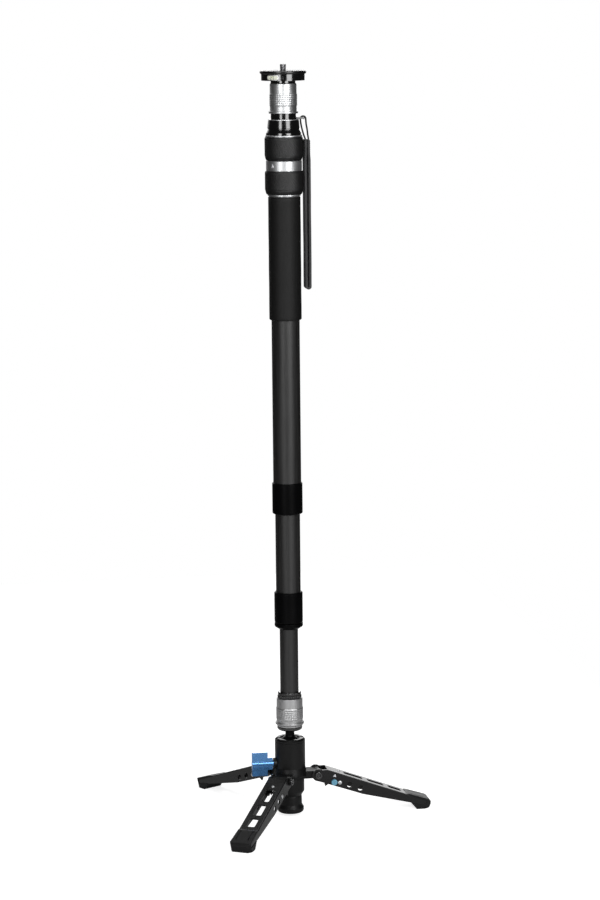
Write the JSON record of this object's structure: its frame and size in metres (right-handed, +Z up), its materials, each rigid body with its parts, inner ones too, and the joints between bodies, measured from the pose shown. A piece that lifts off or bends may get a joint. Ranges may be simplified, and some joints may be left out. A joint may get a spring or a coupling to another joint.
{
  "type": "camera monopod",
  "caption": "Telescoping carbon camera monopod with one-twist section lock, wrist strap and a ball-jointed base on folding legs.",
  "frame": {"origin": "middle of the centre foot's flat sole, on the pole's axis", "axes": "+Z up along the pole, +X along leg 1 and through the strap lug"},
  "size_m": [0.225, 0.2588, 0.7594],
  "materials": {
    "carbon": "satin woven carbon",
    "black_anodised": "gloss black anodised",
    "bright_aluminium": "turned bright",
    "grey_aluminium": "grey anodised",
    "rubber": "matt",
    "foam": "matt foam",
    "steel": "bright",
    "blue_anodised": "blue anodised",
    "vial": "clear",
    "webbing": "woven",
    "moulded": "moulded",
    "bronze": "turned"
  },
  "bodies": {
    "hub": {"base_housing": "black_anodised", "leg_crown": "black_anodised", "socket_ring": "black_anodised", "brake_shoe": "bronze", "leg_pivot_bolts": "steel", "foot_boss": "black_anodised", "centre_foot": "rubber"},
    "liner": {"socket_liner": "moulded"},
    "ball": {"ball_stem": "black_anodised"},
    "knob": {"lock_knob": "blue_anodised", "lock_screw": "steel"},
    "pole_foot": {"lower_cap": "black_anodised", "lower_spigot": "black_anodised", "tube_4": "carbon", "brake_bush_4": "moulded"},
    "lower_collar": {"lower_lock_collar": "grey_aluminium"},
    "lock_4": {"lock_cone_4": "bronze"},
    "section_3": {"tube_3": "carbon", "end_ring_3": "black_anodised", "brake_bush_3": "moulded"},
    "lock_3": {"lock_cone_3": "bronze", "drive_tube_3": "steel"},
    "section_2": {"tube_2": "carbon", "collar_2": "black_anodised", "brake_bush_2": "moulded"},
    "lock_2": {"lock_cone_2": "bronze", "drive_tube_2": "steel"},
    "handle": {"tube_1": "carbon", "collar_1": "black_anodised", "foam_grip": "foam", "grip_trim_ring": "bright_aluminium", "handle_sleeve": "bright_aluminium", "hold_rubber": "rubber", "shoulder_cone": "black_anodised", "strap_lug": "steel", "camera_plate": "black_anodised", "plate_pad": "rubber", "camera_screw": "steel", "level_vial": "vial", "level_bezel": "bright_aluminium", "plate_set_screw": "steel"},
    "upper_collar": {"upper_lock_collar": "bright_aluminium"},
    "twister": {"twist_ring": "bright_aluminium", "twist_rubber": "rubber", "drive_pin": "steel", "drive_rod": "steel"},
    "strap": {"strap_cord": "webbing", "strap_webbing": "webbing"},
    "leg_1_arm": {"leg_1": "black_anodised", "leg_foot_1": "rubber", "leg_spring_1": "steel"},
    "button_1": {"leg_button_1": "blue_anodised"},
    "leg_2_arm": {"leg_2": "black_anodised", "leg_foot_2": "rubber", "leg_spring_2": "steel"},
    "button_2": {"leg_button_2": "blue_anodised"},
    "leg_3_arm": {"leg_3": "black_anodised", "leg_foot_3": "rubber", "leg_spring_3": "steel"},
    "button_3": {"leg_button_3": "blue_anodised"}
  },
  "joints": [
    {"name": "tilt_side", "type": "hinge", "parent": "hub", "child": "liner", "pos_m": [0, 0, 0.0685], "axis": [1, 0, 0], "range_deg": [-15, 15]},
    {"name": "tilt_front", "type": "hinge", "parent": "liner", "child": "ball", "pos_m": [0, 0, 0.0685], "axis": [0, 1, 0], "range_deg": [-15, 15]},
    {"name": "pan", "type": "hinge", "parent": "ball", "child": "pole_foot", "pos_m": [0, 0, 0.09], "axis": [0, 0, 1], "continuous": true},
    {"name": "lower_collar_twist", "type": "hinge", "parent": "pole_foot", "child": "lower_collar", "pos_m": [0, 0, 0.105], "axis": [0, 0, 1], "range_deg": [0, 60]},
    {"name": "lower_slide", "type": "slide", "parent": "pole_foot", "child": "section_3", "axis": [0, 0, 1], "range_m": [-0.0635, 0.215]},
    {"name": "middle_slide", "type": "slide", "parent": "section_3", "child": "section_2", "axis": [0, 0, 1], "range_m": [0, 0.3]},
    {"name": "upper_slide", "type": "slide", "parent": "section_2", "child": "handle", "axis": [0, 0, 1], "range_m": [-0.0795, 0.215]},
    {"name": "rapid_twist", "type": "hinge", "parent": "handle", "child": "twister", "pos_m": [0, 0, 0.67465], "axis": [0, 0, 1], "range_deg": [0, 60]},
    {"name": "lock_2_twist", "type": "hinge", "parent": "section_2", "child": "lock_2", "pos_m": [0, 0, 0.579], "axis": [0, 0, 1], "range_deg": [0, 60]},
    {"name": "lock_3_twist", "type": "hinge", "parent": "section_3", "child": "lock_3", "pos_m": [0, 0, 0.5515], "axis": [0, 0, 1], "range_deg": [0, 60]},
    {"name": "lock_4_twist", "type": "hinge", "parent": "pole_foot", "child": "lock_4", "pos_m": [0, 0, 0.461], "axis": [0, 0, 1], "range_deg": [0, 60]},
    {"name": "upper_collar_twist", "type": "hinge", "parent": "handle", "child": "upper_collar", "pos_m": [0, 0, 0.7237], "axis": [0, 0, 1], "range_deg": [0, 60]},
    {"name": "strap_swing", "type": "hinge", "parent": "handle", "child": "strap", "pos_m": [0.0195, 0, 0.704], "axis": [0, -1, 0], "range_deg": [0, 110]},
    {"name": "knob_turn", "type": "hinge", "parent": "hub", "child": "knob", "pos_m": [-0.0174, 0, 0.0514], "axis": [-1, 0, 0], "range_deg": [0, 270]},
    {"name": "leg_1_fold", "type": "hinge", "parent": "hub", "child": "leg_1_arm", "pos_m": [0.0275, 0, 0.039], "axis": [0, 1, 0], "range_deg": [-108, 0]},
    {"name": "leg_1_button", "type": "slide", "parent": "leg_1_arm", "child": "button_1", "axis": [0, 1, 0], "range_m": [0, 0.0012], "stiffness_N_per_m": 1000, "springref_m": -0.002, "deforming": ["leg_spring_1"]},
    {"name": "leg_2_fold", "type": "hinge", "parent": "hub", "child": "leg_2_arm", "pos_m": [-0.01375, 0.02382, 0.039], "axis": [0.866, 0.5, 0], "range_deg": [0, 108]},
    {"name": "leg_2_button", "type": "slide", "parent": "leg_2_arm", "child": "button_2", "axis": [-0.866, -0.5, 0], "range_m": [0, 0.0012], "stiffness_N_per_m": 1000, "springref_m": -0.002, "deforming": ["leg_spring_2"]},
    {"name": "leg_3_fold", "type": "hinge", "parent": "hub", "child": "leg_3_arm", "pos_m": [-0.01375, -0.02382, 0.039], "axis": [0.866, -0.5, 0], "range_deg": [-108, 0]},
    {"name": "leg_3_button", "type": "slide", "parent": "leg_3_arm", "child": "button_3", "axis": [0.866, -0.5, 0], "range_m": [0, 0.0012], "stiffness_N_per_m": 1000, "springref_m": -0.002, "deforming": ["leg_spring_3"]}
  ],
  "couplings": [
    {"joint": "lock_2_twist", "follows": "rapid_twist", "ratio": 1},
    {"joint": "lock_3_twist", "follows": "rapid_twist", "ratio": 1},
    {"joint": "lock_4_twist", "follows": "rapid_twist", "ratio": 1}
  ]
}
